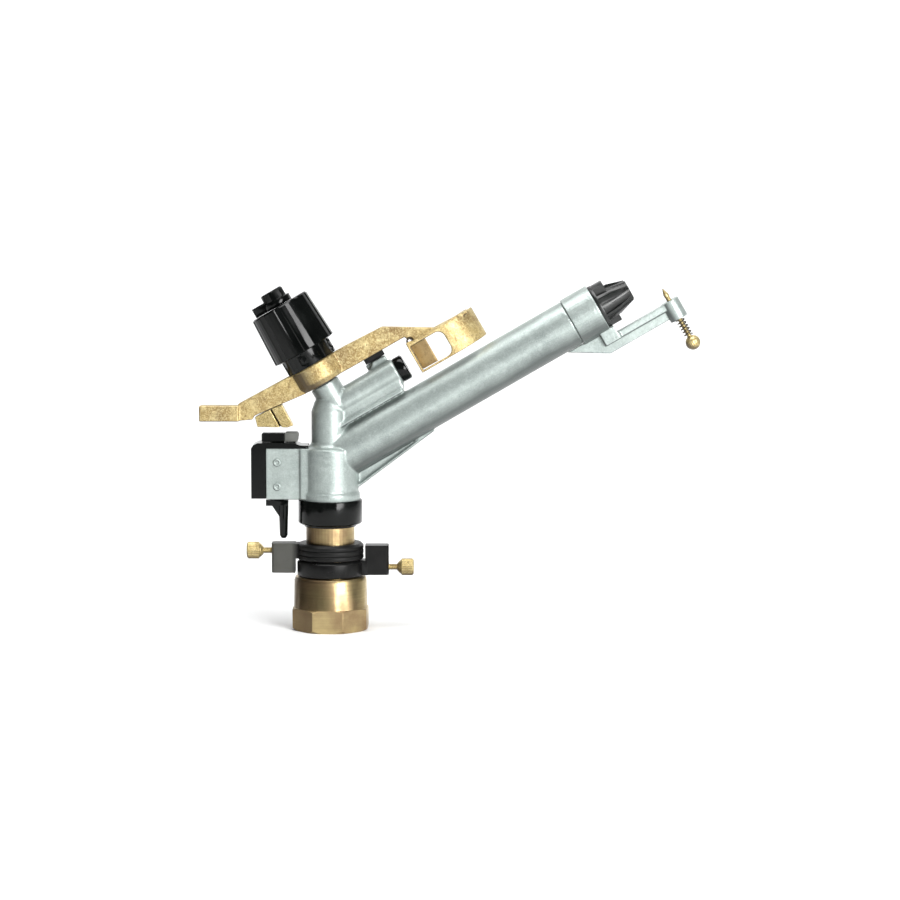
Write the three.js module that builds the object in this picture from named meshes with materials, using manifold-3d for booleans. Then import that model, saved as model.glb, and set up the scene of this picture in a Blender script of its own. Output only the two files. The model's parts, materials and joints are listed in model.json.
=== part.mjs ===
// Impact sprinkler with a part-circle reversing box. Millimetres, +Z up.
// The swivel axis is the Z axis and the inlet nut's lower face is at z = 0.
import * as THREE from "three";
import { mergeVertices } from "three/addons/utils/BufferGeometryUtils.js";
import Module from "manifold-3d";

const wasm = await Module();
wasm.setup();

// ---- sizes ----
const GAP = 0.3; // clearance between neighbouring pieces
const BARREL_ANGLE = 30; // degrees above the horizontal

// inlet nut and swivel tube
const SOCKET_R = 28.4; // G2 female thread, minor radius
const SOCKET_H = 26;
const NUT_WALL = 5.4;
const NUT_R = SOCKET_R + NUT_WALL;
const FLAT_WALL = 6.1;
const NUT_ACROSS_FLATS = 2 * (SOCKET_R + FLAT_WALL);
const NUT_HEX_H = 21;
const NUT_H = 49.4;
const NUT_TURN = 20; // turn of the octagon about the swivel axis, degrees
const TUBE_R = 22.5;
const TUBE_WALL = 3.5;
const TUBE_BORE_R = TUBE_R - TUBE_WALL;
const FLANGE_R = TUBE_R + 3.2;
const FLANGE_H = 4;

// stop rings
const RING_R = TUBE_R + 8.5;
const RING_H = 14.9;
const RING_GAP = 0.8;
const RING_Z = NUT_H + 1.1;
const RINGS_TOP = RING_Z + 2 * RING_H + RING_GAP;
const EAR_REACH = RING_R + 23.5;
const EAR_W = 17;
const EAR_H = 27.7;
const SCREW_R = 3.2;
const SCREW_HEAD_R = 7.9;
const SCREW_HEAD_L = 12.4;
const SCREW_OUT = 11; // bare thread between the ear and the head
const INSERT_R = SCREW_R + 2.4;

// bearing collar and the stack of washers inside it
const TUBE_SHOWN = 15.5; // tube between the rings and the collar's lip
const LIP_R = TUBE_R + 1.75;
const LIP_H = 2.5;
const COLLAR_Z = RINGS_TOP + TUBE_SHOWN + LIP_H;
const COLLAR_H = 22.8;
const COLLAR_FLOOR = 3.5;
const WASHER_T = 1.9;
const SEAL_T = 2.4;
const SPIGOT_BORE_R = FLANGE_R + GAP;
const SPIGOT_R = SPIGOT_BORE_R + 1.6;
const COLLAR_R = SPIGOT_R + 2.15;
const STACK_Z = COLLAR_Z + COLLAR_FLOOR;
const FLANGE_Z = STACK_Z + 3 * (WASHER_T + 0.5);
const SEAL_Z = FLANGE_Z + FLANGE_H + GAP;

// body: hub, stem and barrel
const HUB_Z0 = COLLAR_Z + COLLAR_H + 0.8;
const HUB_H = 47.7;
const HUB_Z1 = HUB_Z0 + HUB_H;
const HUB_R = SPIGOT_R - 1.1;
const ELBOW_Z = HUB_Z0 + 34; // where the barrel axis meets the swivel axis
const STEM_R = 17.2;
const BARREL_R = 21.85;
const BARREL_WALL = 3.55;
const BARREL_BORE_R = BARREL_R - BARREL_WALL;
const BARREL_SEAM = 259; // from the elbow to the bracket's collar
const NECK_L = 25; // stretch of the barrel inside the bracket
const BARREL_END = BARREL_SEAM + NECK_L;
const BARREL_NECK_R = BARREL_R - 1.35;
const BRACKET_R = BARREL_R + 1.4;
const BRACKET_END = BARREL_END + 2.7;
const NOZZLE_L = 33.2;
const NOZZLE_TIP = BRACKET_END + GAP + NOZZLE_L;
const EXIT_R = 8.3;

// small drive barrel
const DRIVE_R = 13;
const DRIVE_RISE = 6.95; // gap between the two barrels
const DRIVE_W = BARREL_R + DRIVE_RISE + DRIVE_R;
const DRIVE_TOP = DRIVE_W + DRIVE_R;
const DRIVE_END = 97.2;
const DRIVE_BORE_R = 8;
const LEDGE_TOP = BARREL_R + 4.6; // cast strip between the two barrels
const DRIVE_CAP_R = DRIVE_R - 0.9;
const DRIVE_CAP_L = 8.5;

// arm and its pivot
const PIVOT_U = 32.1; // arm axis, along the barrel from the elbow
const BOSS_R = 14;
const BOSS_TOP = DRIVE_TOP + 10.7;
const PIN_R = 5;
const BUSH_R = PIN_R + 3;
const ARM_HUB_R = 22.3;
const ARM_HUB_H = 20.7;
const HUB_BOTTOM = BOSS_TOP + 0.9;
const HUB_TOP = HUB_BOTTOM + ARM_HUB_H;
const ARM_T = 12; // thickness of the arm's beams
const PAD_Y = ARM_T / 2 + 3.5; // back of the pad that the arm rests on
const PAD_FOOT = DRIVE_TOP + 5.9; // lower end of the pad
const SPOON_U = DRIVE_END + 84.3; // far edge of the spoon
const SPOON_W0 = BARREL_R + 7.55;
const SPOON_TOP = HUB_BOTTOM - 7.4;
const TAIL_L = 36;
const TAIL_H = 14.5;
const TAIL_W = 18;
const SKIRT_R = ARM_HUB_R + 2.3;
const SKIRT_H = 15;
const CAP_R0 = 30.7;
const CAP_R1 = 28.6;
const CAP_H = 46.5;
const CAP_WALL = 3.6;
const FACETS = 10; // flats round the cap, with a shallow flute between each two
const FACET_TURN = 15.5; // from the near side, degrees
const KNOB_R = 11.2;
const KNOB_H = 15.5;
const KNOB_LUG = 23.3;

// stream straightener
const VANES_U0 = 70;
const VANES_U1 = 112;

// jet breaker
const BREAKER_U = BARREL_SEAM + 88.1; // needle's axis
const BREAKER_DROP = 4.75; // arm below the bracket's collar
const ARM_TOP_W = -BRACKET_R - BREAKER_DROP;
const NEEDLE_R = 2.4;
const BREAKER_BOSS_R = NEEDLE_R + 6.2;
const BREAKER_BOSS_W = ARM_TOP_W - 18.5; // lower end of the boss
const BALL_R = 7;
const NEEDLE_SPRING_L = 18.5;
const BALL_W = BREAKER_BOSS_W - NEEDLE_SPRING_L - BALL_R;
const NEEDLE_TIP_W = ARM_TOP_W + 13.3;

// reversing box
const BOX_X1 = -HUB_R - 2.5;
const BOX_L = 43.5;
const BOX_X0 = BOX_X1 - BOX_L;
const BOX_HALF = 11.2;
const BOX_WALL = 2.2;
const BOX_TOP = HUB_Z1 + 5.1;
const PLATE_X0 = BOX_X0 + 13.7;
const PLATE_Y1 = -BOX_HALF - GAP;
const PLATE_Y0 = PLATE_Y1 - 3.9;
const BOX_SCREW_X = PLATE_X0 + 10.35;
const BOX_SCREWS_Z = [HUB_Z0 + 12.2, HUB_Z0 + 34.7];
const LEVER_Z = HUB_Z0 + 23.3; // trip lever's shaft
const SHAFT_R = 2.2;
const FINGER_X = BOX_X1 - 14.5;
const FINGER_CLEAR = 3.6; // finger tip above the ears
const FINGER_TIP_Z = RING_Z + RING_GAP + Math.max(EAR_H, 2 * RING_H) + FINGER_CLEAR + 0.1;

// ---- shape helpers ----
const deg = Math.PI / 180;

function solidOf(geometry) {
  const g = geometry.clone();
  g.deleteAttribute("normal");
  g.deleteAttribute("uv");
  const m = mergeVertices(g, 1e-4);
  const triVerts = new Uint32Array(m.index.array);
  return new wasm.Manifold(new wasm.Mesh({ numProp: 3, vertProperties: m.attributes.position.array, triVerts }));
}

// profile of [radius, height] pairs turned about Z
function turned(profile, segments = 48, phase = 0) {
  const points = profile.map(([r, z]) => new THREE.Vector2(r, z));
  const g = new THREE.LatheGeometry(points, segments, phase * deg, Math.PI * 2);
  g.rotateX(Math.PI / 2);
  return solidOf(g);
}

function rod(r, z0, z1, segments = 32) {
  return turned([[0, z0], [r, z0], [r, z1], [0, z1]], segments);
}

function ring(r0, r1, z0, z1, segments = 48) {
  return turned([[r0, z0], [r1, z0], [r1, z1], [r0, z1], [r0, z0]], segments);
}

function hexNut(cornerR, boreR, z0, z1) {
  return rod(cornerR, z0, z1, 6).subtract(rod(boreR, z0 - 1, z1 + 1, 20));
}

function block(x0, x1, y0, y1, z0, z1) {
  const g = new THREE.BoxGeometry(x1 - x0, y1 - y0, z1 - z0);
  g.translate((x0 + x1) / 2, (y0 + y1) / 2, (z0 + z1) / 2);
  return solidOf(g);
}

// outline of [x, z] pairs made into a plate from y0 to y1
function plate(outline, y0, y1) {
  const shape = outline instanceof THREE.Shape ? outline : new THREE.Shape(outline.map(([x, z]) => new THREE.Vector2(x, z)));
  const g = new THREE.ExtrudeGeometry(shape, { depth: y1 - y0, bevelEnabled: false, curveSegments: 12 });
  g.rotateX(Math.PI / 2);
  g.translate(0, y1, 0);
  return solidOf(g);
}

// outline of [x, y] pairs raised from z0 to z1
function slab(outline, z0, z1) {
  const shape = outline instanceof THREE.Shape ? outline : new THREE.Shape(outline.map(([x, y]) => new THREE.Vector2(x, y)));
  const g = new THREE.ExtrudeGeometry(shape, { depth: z1 - z0, bevelEnabled: false, curveSegments: 12 });
  g.translate(0, 0, z0);
  return solidOf(g);
}

// strip of constant thickness along an arc in the x-y plane, raised from z0 to z1
function arcWall(cx, cy, r, t, a0, a1, z0, z1, steps = 14) {
  const shape = new THREE.Shape();
  for (let i = 0; i <= steps; i++) {
    const a = (a0 + ((a1 - a0) * i) / steps) * deg;
    const x = cx + (r + t / 2) * Math.cos(a);
    const y = cy + (r + t / 2) * Math.sin(a);
    if (i === 0) shape.moveTo(x, y);
    else shape.lineTo(x, y);
  }
  for (let i = steps; i >= 0; i--) {
    const a = (a0 + ((a1 - a0) * i) / steps) * deg;
    shape.lineTo(cx + (r - t / 2) * Math.cos(a), cy + (r - t / 2) * Math.sin(a));
  }
  return slab(shape, z0, z1);
}

function coil(r, wire, z0, z1, turns, perTurn = 16, sides = 6) {
  class Helix extends THREE.Curve {
    getPoint(t) {
      const a = t * turns * Math.PI * 2;
      const z = z0 + wire + (z1 - z0 - 2 * wire) * t;
      return new THREE.Vector3(r * Math.cos(a), r * Math.sin(a), z);
    }
  }
  const shape = new THREE.Shape();
  for (let i = 0; i < sides; i++) {
    const a = (i / sides) * Math.PI * 2;
    if (i === 0) shape.moveTo(wire, 0);
    else shape.lineTo(wire * Math.cos(a), wire * Math.sin(a));
  }
  const steps = Math.round(turns * perTurn);
  return solidOf(new THREE.ExtrudeGeometry(shape, { steps, bevelEnabled: false, extrudePath: new Helix() }));
}

function all(...pieces) {
  return pieces.reduce((a, b) => a.add(b));
}

function cut(base, ...tools) {
  return tools.reduce((a, b) => a.subtract(b), base);
}

// from Z-up local shapes to the barrel's frame: local X runs along the barrel, Z square to it
function tilt(solid) {
  return solid.rotate([0, -BARREL_ANGLE, 0]).translate([0, 0, ELBOW_Z]);
}

// [x, z] of a point given along and square to the barrel
function toRow(u, w) {
  const a = BARREL_ANGLE * deg;
  return [u * Math.cos(a) - w * Math.sin(a), ELBOW_Z + u * Math.sin(a) + w * Math.cos(a)];
}

// a shape turned about Z, laid along +X
function along(solid) {
  return solid.rotate([0, 90, 0]);
}

// flats and flutes in turn, tapering upwards to the given share of the radius
function faceted(r, share, z0, z1) {
  const outline = [];
  for (let i = 0; i < FACETS; i++) {
    const middle = FACET_TURN - 90 + (360 * i) / FACETS;
    for (const [turn, depth] of [[-10, 0], [10, 0], [13, 1.4], [23, 1.4]]) {
      const a = (middle + turn) * deg;
      outline.push(new THREE.Vector2((r - depth) * Math.cos(a), (r - depth) * Math.sin(a)));
    }
  }
  const g = new THREE.ExtrudeGeometry(new THREE.Shape(outline), { depth: z1 - z0, bevelEnabled: false });
  const at = g.attributes.position;
  for (let i = 0; i < at.count; i++) {
    if (at.getZ(i) > (z1 - z0) / 2) at.setXY(i, at.getX(i) * share, at.getY(i) * share);
  }
  g.translate(0, 0, z0);
  return solidOf(g);
}

function polar(solid, count, first = 0) {
  const out = [];
  for (let i = 0; i < count; i++) out.push(solid.rotate([0, 0, first + (360 * i) / count]));
  return all(...out);
}

// ---- materials ----
const LOOKS = {
  aluminium: [0xb9c6c1, 0.42, 0.9],
  brass: [0xb98f4e, 0.38, 0.95],
  arm_brass: [0xd2b273, 0.5, 0.85],
  vane_brass: [0x9c7a48, 0.55, 0.8],
  black: [0x0c0f0e, 0.32, 0],
  ring_black: [0x1c1d1c, 0.5, 0],
  grey: [0x6c6e68, 0.65, 0],
  rubber: [0x161616, 0.85, 0],
  steel: [0x8d9092, 0.35, 1],
  spring: [0x4a4436, 0.45, 1],
};

const group = new THREE.Group();

function place(name, solid, look) {
  const mesh = solid.getMesh();
  const g = new THREE.BufferGeometry();
  g.setAttribute("position", new THREE.BufferAttribute(new Float32Array(mesh.vertProperties), 3));
  g.setIndex(new THREE.BufferAttribute(new Uint32Array(mesh.triVerts), 1));
  g.computeVertexNormals();
  const [color, roughness, metalness] = LOOKS[look];
  const out = new THREE.Mesh(g, new THREE.MeshStandardMaterial({ color, roughness, metalness }));
  out.name = name;
  group.add(out);
}

// ---- inlet ----
{
  const cornerR = NUT_ACROSS_FLATS / 2 / Math.cos(22.5 * deg);
  const flats = slab(
    Array.from({ length: 8 }, (_, i) => {
      const a = (NUT_TURN + 45 * i - 90) * deg;
      return [cornerR * Math.cos(a), cornerR * Math.sin(a)];
    }),
    0,
    NUT_HEX_H,
  );
  const bevel = turned([
    [0, 0], [cornerR - 2.6, 0], [cornerR, 2.4], [cornerR, NUT_HEX_H - 1.5],
    [cornerR - 2.4, NUT_HEX_H], [0, NUT_HEX_H],
  ], 40);
  const upper = turned([
    [0, NUT_HEX_H - 1], [NUT_R + 0.4, NUT_HEX_H - 1], [NUT_R, NUT_H - 3], [NUT_R - 1.2, NUT_H], [0, NUT_H],
  ], 48);
  const bore = turned([
    [0, -1], [SOCKET_R + 1.8, -1], [SOCKET_R + 1.8, 0], [SOCKET_R, 1.8], [SOCKET_R, SOCKET_H],
    [TUBE_BORE_R + GAP, SOCKET_H], [TUBE_BORE_R + GAP, SOCKET_H + 3], [TUBE_R + GAP, SOCKET_H + 3],
    [TUBE_R + GAP, NUT_H + 1], [0, NUT_H + 1],
  ], 40);
  place("inlet_nut", cut(all(flats.intersect(bevel), upper), bore), "brass");
  place("inlet_gasket", ring(TUBE_BORE_R + 1, SOCKET_R - GAP, SOCKET_H - 2.8, SOCKET_H - GAP, 32), "rubber");
}

// bearing stack inside the collar, from the collar's floor up
place("swivel_tube", turned([
  [TUBE_BORE_R, SOCKET_H + 3 + GAP], [TUBE_R, SOCKET_H + 3 + GAP], [TUBE_R, FLANGE_Z],
  [FLANGE_R, FLANGE_Z], [FLANGE_R, FLANGE_Z + FLANGE_H], [TUBE_BORE_R, FLANGE_Z + FLANGE_H],
  [TUBE_BORE_R, SOCKET_H + 3 + GAP],
], 44), "brass");
const stack = [["lower_washer", "steel"], ["rubber_washer", "rubber"], ["wear_washer", "arm_brass"]];
stack.forEach(([name, look], i) => {
  const z = STACK_Z + GAP + i * (WASHER_T + 0.4);
  place(name, ring(TUBE_R + GAP, FLANGE_R, z, z + WASHER_T, 28), look);
});
place("upper_seal", ring(TUBE_BORE_R + GAP, FLANGE_R, SEAL_Z, SEAL_Z + SEAL_T, 28), "rubber");

// ---- stop rings, each with its ear, insert and thumb screw ----
function stopRing(level, side, names) {
  const z0 = RING_Z + level * (RING_H + RING_GAP);
  const z1 = z0 + RING_H;
  const mid = (z0 + z1) / 2;
  const earZ = level === 0 ? RING_Z + 0.8 : z1 - EAR_H;
  const grooved = level === 0 ? [] : [0.3, 0.62].flatMap((share) => {
    const z = z0 + share * RING_H;
    return [[RING_R, z - 0.8], [RING_R - 0.9, z], [RING_R, z + 0.8]];
  });
  const body = turned([
    [TUBE_R + GAP, z0], [RING_R - 0.8, z0], [RING_R, z0 + 0.8], ...grooved, [RING_R, z1 - 2.2],
    [RING_R - 2.2, z1], [TUBE_R + GAP, z1], [TUBE_R + GAP, z0],
  ], 40);
  const inner = RING_R + 1.6; // the ear hangs clear of the other ring
  const ear = all(
    slab([
      [inner, -EAR_W / 2], [EAR_REACH - 2, -EAR_W / 2 + 0.6], [EAR_REACH, -EAR_W / 2 + 3],
      [EAR_REACH, EAR_W / 2 - 3], [EAR_REACH - 2, EAR_W / 2 - 0.6], [inner, EAR_W / 2],
    ], earZ, earZ + EAR_H),
    block(TUBE_R + 5, inner + 2, -EAR_W / 2, EAR_W / 2, z0 + 0.6, z1 - 0.6),
  );
  const screwHole = along(rod(SCREW_R + GAP, TUBE_R - 2, EAR_REACH + 2, 20));
  const insertHole = along(turned([
    [0, EAR_REACH - 9], [INSERT_R + 0.4, EAR_REACH - 9], [INSERT_R + 0.4, EAR_REACH + 1], [0, EAR_REACH + 1],
  ], 6));
  const lift = [0, 0, mid];
  const bore = rod(TUBE_R + GAP, z0 - 2, z1 + 2, 40);
  const stop = cut(all(body, ear), screwHole.translate(lift), insertHole.translate(lift), bore);
  const insert = along(hexNut(INSERT_R, SCREW_R + GAP, EAR_REACH - 8.7, EAR_REACH - GAP)).translate(lift);
  const neck = EAR_REACH + SCREW_OUT - 3;
  const head = EAR_REACH + SCREW_OUT;
  const tip = TUBE_R + GAP;
  const screw = along(turned([
    [0, tip], [SCREW_R - 1.2, tip], [SCREW_R, tip + 1.2], [SCREW_R, neck], [SCREW_HEAD_R - 1.6, head],
    [SCREW_HEAD_R, head + 1.6], [SCREW_HEAD_R, head + SCREW_HEAD_L - 1.6],
    [SCREW_HEAD_R - 1.6, head + SCREW_HEAD_L], [0, head + SCREW_HEAD_L],
  ], 16));
  const grooves = [];
  for (let i = 0; i < 8; i++) {
    const notch = block(head + 2, head + SCREW_HEAD_L - 2, -0.5, 0.5, SCREW_HEAD_R - 0.7, SCREW_HEAD_R + 1);
    grooves.push(notch.rotate([45 * i, 0, 0]));
  }
  const turn = [0, 0, side > 0 ? 0 : 180];
  place(names[0], stop.rotate(turn), "ring_black");
  place(names[1], insert.rotate(turn), "brass");
  place(names[2], cut(screw, ...grooves).translate(lift).rotate(turn), "brass");
}
stopRing(0, 1, ["lower_stop_ring", "lower_stop_insert", "lower_stop_screw"]);
stopRing(1, -1, ["upper_stop_ring", "upper_stop_insert", "upper_stop_screw"]);

// ---- bearing collar ----
place("swivel_collar", turned([
  [TUBE_R + GAP, COLLAR_Z - LIP_H], [LIP_R, COLLAR_Z - LIP_H], [LIP_R, COLLAR_Z - 0.6],
  [COLLAR_R - 1.6, COLLAR_Z], [COLLAR_R, COLLAR_Z + 1.6], [COLLAR_R, COLLAR_Z + COLLAR_H - 0.8],
  [COLLAR_R - 0.8, COLLAR_Z + COLLAR_H], [SPIGOT_R + GAP, COLLAR_Z + COLLAR_H],
  [SPIGOT_R + GAP, STACK_Z], [TUBE_R + GAP, STACK_Z], [TUBE_R + GAP, COLLAR_Z - LIP_H],
], 44), "black");

const t2 = ARM_T / 2;

// ---- body casting ----
{
  const shoulderZ = SEAL_Z + SEAL_T + GAP;
  const neckZ = ELBOW_Z + DRIVE_W * Math.cos(BARREL_ANGLE * deg) + 11;
  const hub = turned([
    [0, STACK_Z + 0.5], [SPIGOT_R, STACK_Z + 0.5], [SPIGOT_R, HUB_Z0],
    [HUB_R + 1.4, HUB_Z0 + 0.4], [HUB_R + 1.4, HUB_Z0 + 5.1], [HUB_R, HUB_Z0 + 6.5],
    [HUB_R, HUB_Z1 - 1.5], [HUB_R - 2, HUB_Z1], [STEM_R + 2.5, HUB_Z1 + 0.8], [STEM_R, HUB_Z1 + 4.5],
    [STEM_R, neckZ], [STEM_R - 3.5, neckZ + 10], [0, neckZ + 12],
  ], 48);
  const elbow = solidOf(new THREE.SphereGeometry(BARREL_R, 32, 16)).translate([0, 0, ELBOW_Z]);
  const barrel = along(turned([
    [0, -2], [BARREL_R, -2], [BARREL_R, BARREL_SEAM], [BARREL_NECK_R, BARREL_SEAM],
    [BARREL_NECK_R, BARREL_END], [0, BARREL_END],
  ], 48));
  const small = along(turned([
    [0, 14], [DRIVE_R, 14], [DRIVE_R, DRIVE_END - 1], [DRIVE_R - 1, DRIVE_END], [0, DRIVE_END],
  ], 36)).translate([0, 0, DRIVE_W]);
  const flank = block(14, DRIVE_END - 2, 1.8 - DRIVE_R, DRIVE_R - 1.8, LEDGE_TOP - 1, DRIVE_W);
  const boss = turned([
    [0, DRIVE_W - 8], [BOSS_R - 3, DRIVE_W - 8], [BOSS_R, DRIVE_W], [BOSS_R, BOSS_TOP], [0, BOSS_TOP],
  ], 36).translate([PIVOT_U, 0, 0]);
  const web = block(10, DRIVE_END - 7, -3, 3, BARREL_R - 3, DRIVE_W - DRIVE_R + 3);
  const ledge = block(16, DRIVE_END - 4.5, -DRIVE_R - 1.2, DRIVE_R + 1.2, LEDGE_TOP - 3.4, LEDGE_TOP);
  const side = plate([
    [PIVOT_U - 10, DRIVE_W + 8], [PIVOT_U + 14, DRIVE_TOP - 0.6], [PIVOT_U + 14, DRIVE_W], [PIVOT_U - 10, DRIVE_W - 4],
  ], -8, 8);
  // lug in front of the pad, hollowed along its near side
  const bumperLug = cut(
    block(DRIVE_END - 24.2, DRIVE_END - 3.7, 0, PAD_Y + 3, DRIVE_TOP - 4, PAD_FOOT - GAP),
    rod(9, -2, t2 + 1, 24).rotate([-90, 0, 0]).translate([DRIVE_END - 25, 0, PAD_FOOT + 3.4]),
  );
  const post = all(
    block(DRIVE_END - 21.2, DRIVE_END - 5.2, 2, PAD_Y + 6.1, DRIVE_W + 7, DRIVE_TOP + 0.6),
    block(DRIVE_END - 19.2, DRIVE_END - 7.2, PAD_Y + GAP, PAD_Y + 6.1, DRIVE_TOP, HUB_BOTTOM + 8.6),
    bumperLug,
  );
  const tilted = tilt(all(barrel, small, flank, boss, web, ledge, side, post));
  // gusset under the barrel with a flange along its edge
  const foot = [HUB_R + 2.3, HUB_Z0 + 12.2];
  const tip = toRow(99.4, -BARREL_R - 1.3);
  const gusset = plate([
    [HUB_R - 12, HUB_Z0 + 6], foot, tip, [tip[0] - 12, tip[1] + 9.7], [HUB_R - 12, HUB_Z0 + 42.5],
  ], -2.6, 2.6);
  const lip = plate([
    [HUB_R - 3, HUB_Z0 + 8.3], foot, tip, [tip[0] - 2.5, tip[1] + 1.3], [foot[0] - 1.9, foot[1] + 1.7],
    [HUB_R - 6.5, HUB_Z0 + 9.5],
  ], -6, 6);
  // ear that carries the reversing box, flush with the hub's near side
  const ear = all(
    block(PLATE_X0, 8.5 - HUB_R, PLATE_Y0, PLATE_Y1, HUB_Z0, HUB_Z1),
    block(-HUB_R - 0.5, 12.5 - HUB_R, PLATE_Y0 - 2.2, -6, HUB_Z0, HUB_Z1),
  );
  const screwHoles = BOX_SCREWS_Z.map((z) => rod(2.3, 0, 12, 16).rotate([90, 0, 0]).translate([BOX_SCREW_X, -6, z]));
  const outside = all(hub, elbow, tilted, gusset, lip, ear);
  const seat = turned([
    [0, STACK_Z - 2], [SPIGOT_BORE_R, STACK_Z - 2], [SPIGOT_BORE_R, shoulderZ], [TUBE_BORE_R, shoulderZ],
    [TUBE_BORE_R, ELBOW_Z - 8], [BARREL_BORE_R, ELBOW_Z], [DRIVE_BORE_R + 1, ELBOW_Z + 10],
    [DRIVE_BORE_R + 1, neckZ - 4], [0, neckZ + 3],
  ], 40);
  const inner = tilt(all(
    along(turned([
      [0, -8], [BARREL_BORE_R - 8, -8], [BARREL_BORE_R, 2], [BARREL_BORE_R, BARREL_END + 2], [0, BARREL_END + 2],
    ], 40)),
    along(rod(DRIVE_BORE_R, 22, DRIVE_END + 2, 24)).translate([0, 0, DRIVE_W]),
    rod(PIN_R + GAP, BOSS_TOP - 11.5, BOSS_TOP + 2, 24).translate([PIVOT_U, 0, 0]),
  ));
  place("body_casting", cut(outside, seat, inner, ...screwHoles), "aluminium");
}

// ---- inside the barrel and at its end ----
{
  const r = BARREL_BORE_R - GAP;
  const vane = block(VANES_U0, VANES_U1, -r + 0.6, r - 0.6, -0.7, 0.7);
  const vanes = [0, 60, 120].map((a) => vane.rotate([a, 0, 0]));
  place("stream_straightener", tilt(all(along(ring(r - 1.2, r, VANES_U0, VANES_U1, 32)), ...vanes)), "grey");
}
{
  const collar = along(ring(BARREL_NECK_R + GAP, BRACKET_R, BARREL_SEAM + GAP, BRACKET_END, 48));
  const root = block(BARREL_SEAM + 17, BARREL_SEAM + 32, -9, 9, ARM_TOP_W - 6.4, -BARREL_R + 2);
  const flange = slab([
    [BARREL_SEAM + 21, -9], [BARREL_SEAM + 32.4, -9], [BARREL_SEAM + 34, -6], [BREAKER_U, -5.6], [BREAKER_U, 5.6],
    [BARREL_SEAM + 34, 6], [BARREL_SEAM + 32.4, 9], [BARREL_SEAM + 21, 9],
  ], ARM_TOP_W - 6.4, ARM_TOP_W);
  const web = plate([
    [BARREL_SEAM - 17, -BARREL_R - GAP], [BARREL_SEAM + 17, ARM_TOP_W - 14.8], [BREAKER_U - 3, ARM_TOP_W - 14.8],
    [BREAKER_U - 3, ARM_TOP_W - 5], [BARREL_SEAM + 19, ARM_TOP_W - 5], [BARREL_SEAM + 19, -BARREL_R],
    [BARREL_SEAM + 3, -BARREL_R], [BARREL_SEAM + 3, -BARREL_R - GAP],
  ], -2.6, 2.6);
  const boss = rod(BREAKER_BOSS_R, BREAKER_BOSS_W, ARM_TOP_W + 0.6, 28).translate([BREAKER_U, 0, 0]);
  const hole = rod(NEEDLE_R + GAP, BREAKER_BOSS_W - 3, ARM_TOP_W + 8, 20).translate([BREAKER_U, 0, 0]);
  const inside = along(rod(BARREL_NECK_R + GAP, BARREL_SEAM - 2, BRACKET_END + 2, 48));
  const clear = along(rod(BRACKET_R, BRACKET_END, BRACKET_END + 6, 40));
  place("breaker_bracket", tilt(cut(all(collar, root, flange, web, boss), inside, hole, clear)), "aluminium");
}
{
  const face = BRACKET_END + GAP;
  const spigotR = BARREL_BORE_R - GAP;
  const flareR = spigotR - 2.4;
  const discR = BARREL_R - 0.45;
  const coneR = EXIT_R + 5.7;
  const throatR = coneR - 2.6;
  const shell = along(turned([
    [0, face - 17], [spigotR, face - 17], [spigotR, face], [discR, face], [discR, face + 3.4],
    [coneR + 0.6, face + 3.4], [coneR, face + 5], [EXIT_R + 1.1, NOZZLE_TIP], [0, NOZZLE_TIP],
  ], 40));
  const wing = block(face + 1, face + 14, -5.5, 5.5, coneR - 3, discR + 2);
  const wings = [20, 200].map((a) => wing.rotate([a, 0, 0]));
  const round = along(rod(discR - 0.2, face, face + 14.2, 40));
  const rib = plate([
    [face + 2, coneR - 3], [face + 2, coneR + 2.4], [face + 17, coneR + 1], [NOZZLE_TIP - 0.8, EXIT_R + 1.9],
    [NOZZLE_TIP - 0.8, EXIT_R + 0.4],
  ], -1.3, 1.3);
  const ribs = [-52, -16, 56, 92, 128, 164].map((a) => rib.rotate([a, 0, 0]));
  const bore = along(turned([
    [0, face - 20], [flareR, face - 20], [flareR, face - 8], [throatR, face + 2], [EXIT_R, NOZZLE_TIP],
    [EXIT_R, NOZZLE_TIP + 2],
    [0, NOZZLE_TIP + 2],
  ], 40));
  place("nozzle_nut", tilt(cut(all(shell, round.intersect(all(...wings)), ...ribs), bore)), "black");
  place("nozzle_ring", tilt(along(turned([
    [flareR - 2, face - 15], [flareR - GAP, face - 15], [flareR - GAP, face - 8.3], [throatR - GAP, face + 2],
    [EXIT_R - GAP, NOZZLE_TIP - GAP], [EXIT_R - 1.3, NOZZLE_TIP - GAP], [throatR - 2, face + 1.4],
    [flareR - 2, face - 9.4], [flareR - 2, face - 15],
  ], 32))), "black");
  place("nozzle_gasket", tilt(along(ring(BARREL_BORE_R + 0.2, BARREL_NECK_R, BARREL_END + GAP, face - GAP, 32))), "rubber");
}
place("drive_cap", tilt(along(turned([
  [3.6, DRIVE_END + GAP], [DRIVE_CAP_R, DRIVE_END + GAP], [DRIVE_CAP_R, DRIVE_END + DRIVE_CAP_L - 1],
  [DRIVE_CAP_R - 1, DRIVE_END + DRIVE_CAP_L + 0.8], [3.6, DRIVE_END + DRIVE_CAP_L + 0.8], [3.6, DRIVE_END + GAP],
], 32)).translate([0, 0, DRIVE_W])), "black");
place("drive_nozzle", tilt(along(turned([
  [5, DRIVE_END - 19], [DRIVE_BORE_R - GAP, DRIVE_END - 19], [DRIVE_BORE_R - GAP, DRIVE_END], [3.2, DRIVE_END],
  [3.2, DRIVE_END - 3], [5, DRIVE_END - 9], [5, DRIVE_END - 19],
], 24)).translate([0, 0, DRIVE_W])), "brass");

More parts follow.
